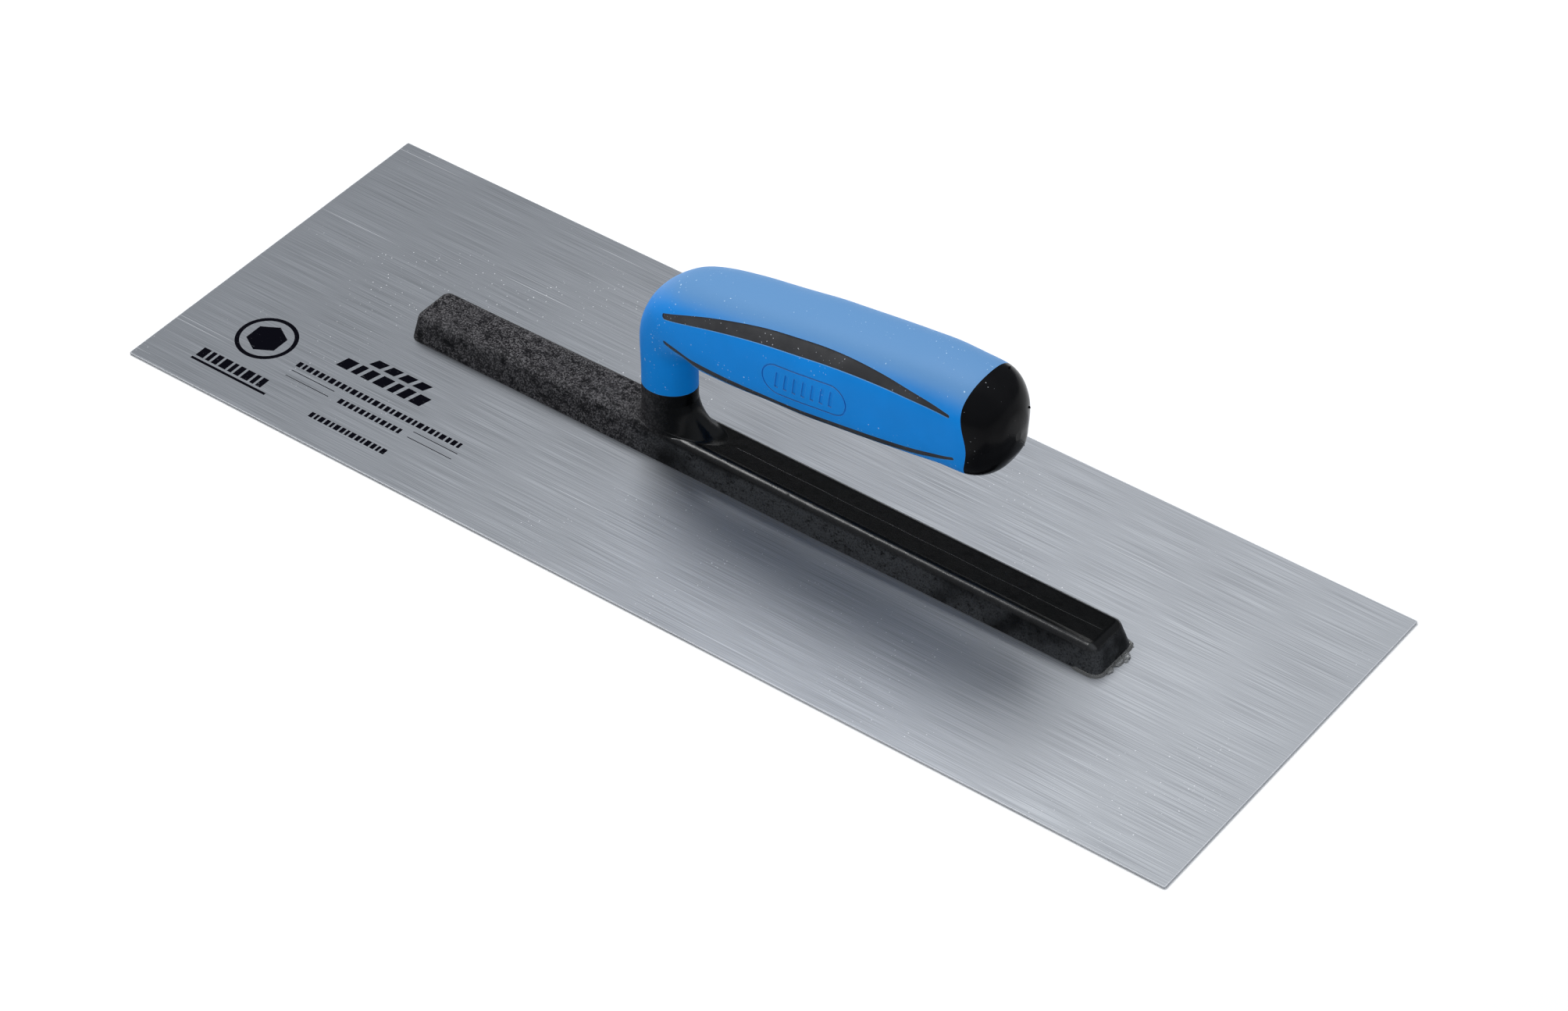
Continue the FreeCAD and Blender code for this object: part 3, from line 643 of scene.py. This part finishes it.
def floor():
    """Plain pale floor just under the blade."""
    drawing = bmesh.new()
    bmesh.ops.create_grid(drawing, x_segments=1, y_segments=1, size=FLOOR_SIZE / 2.0)
    mesh = bpy.data.meshes.new("floor")
    drawing.to_mesh(mesh)
    drawing.free()
    made = bpy.data.objects.new("floor", mesh)
    made.location.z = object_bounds()[0].z - FLOOR_GAP
    look = Look("floor", Roughness=0.9, Specular_IOR_Level=0.0)
    cloud = look.noise((3.0, 3.0, 3.0))
    look.set("Base Color", look.blend(cloud, (0.87, 0.86, 0.85), (0.90, 0.89, 0.88)))
    made.data.materials.append(look.material)
    bpy.context.scene.collection.objects.link(made)
    made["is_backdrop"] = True


def camera():
    """Camera above the near right corner, which looks down at the middle of the blade."""
    data = bpy.data.cameras.new("camera")
    data.lens = LENS
    data.sensor_width = SENSOR
    data.clip_start = NEAR_CLIP
    data.clip_end = FAR_CLIP
    made = bpy.data.objects.new("camera", data)
    place, aim = Vector(CAMERA_PLACE), Vector(CAMERA_AIM)
    turned = (aim - place).to_track_quat("-Z", "Y").to_matrix()
    rolled = turned @ Matrix.Rotation(CAMERA_ROLL, 3, "Z")
    made.matrix_world = Matrix.Translation(place) @ rolled.to_4x4()
    bpy.context.scene.collection.objects.link(made)
    bpy.context.scene.camera = made


def paint(node, material):
    """Give a CAD node its finish."""
    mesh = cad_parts[node].data
    mesh.materials.clear()
    mesh.materials.append(material)


def build():
    """Finish every CAD node, add the pieces it lacks, and set up the studio."""
    inlay = dark_inlay()
    finishes = {"blade": brushed_steel(), "weld_studs": stud_steel(),
                "spine_beam": black_nylon("black_nylon", BEAM_SHINE),
                "adhesive_bed": clear_adhesive(), "grip_sleeve": soft_touch_blue(),
                "upper_inlay_left": inlay, "upper_inlay_right": inlay,
                "lower_inlay_left": inlay, "lower_inlay_right": inlay, "end_cap": gloss_black()}
    for node, material in finishes.items():
        paint(node, material)
    beam = surface("spine_beam")
    blade_print(black_ink())
    tool_marks(beam, black_nylon("burnished_nylon", MARK_SHINE))
    parting_lines(beam, finishes["spine_beam"])
    adhesive_drops(finishes["adhesive_bed"])
    cap_nubs(finishes["end_cap"])
    floor()
    sky()
    soft_panel("back_panel", **BACK_PANEL)
    soft_panel("front_panel", **FRONT_PANEL)
    camera()
    bpy.context.scene.view_settings.view_transform = "Standard"


build()
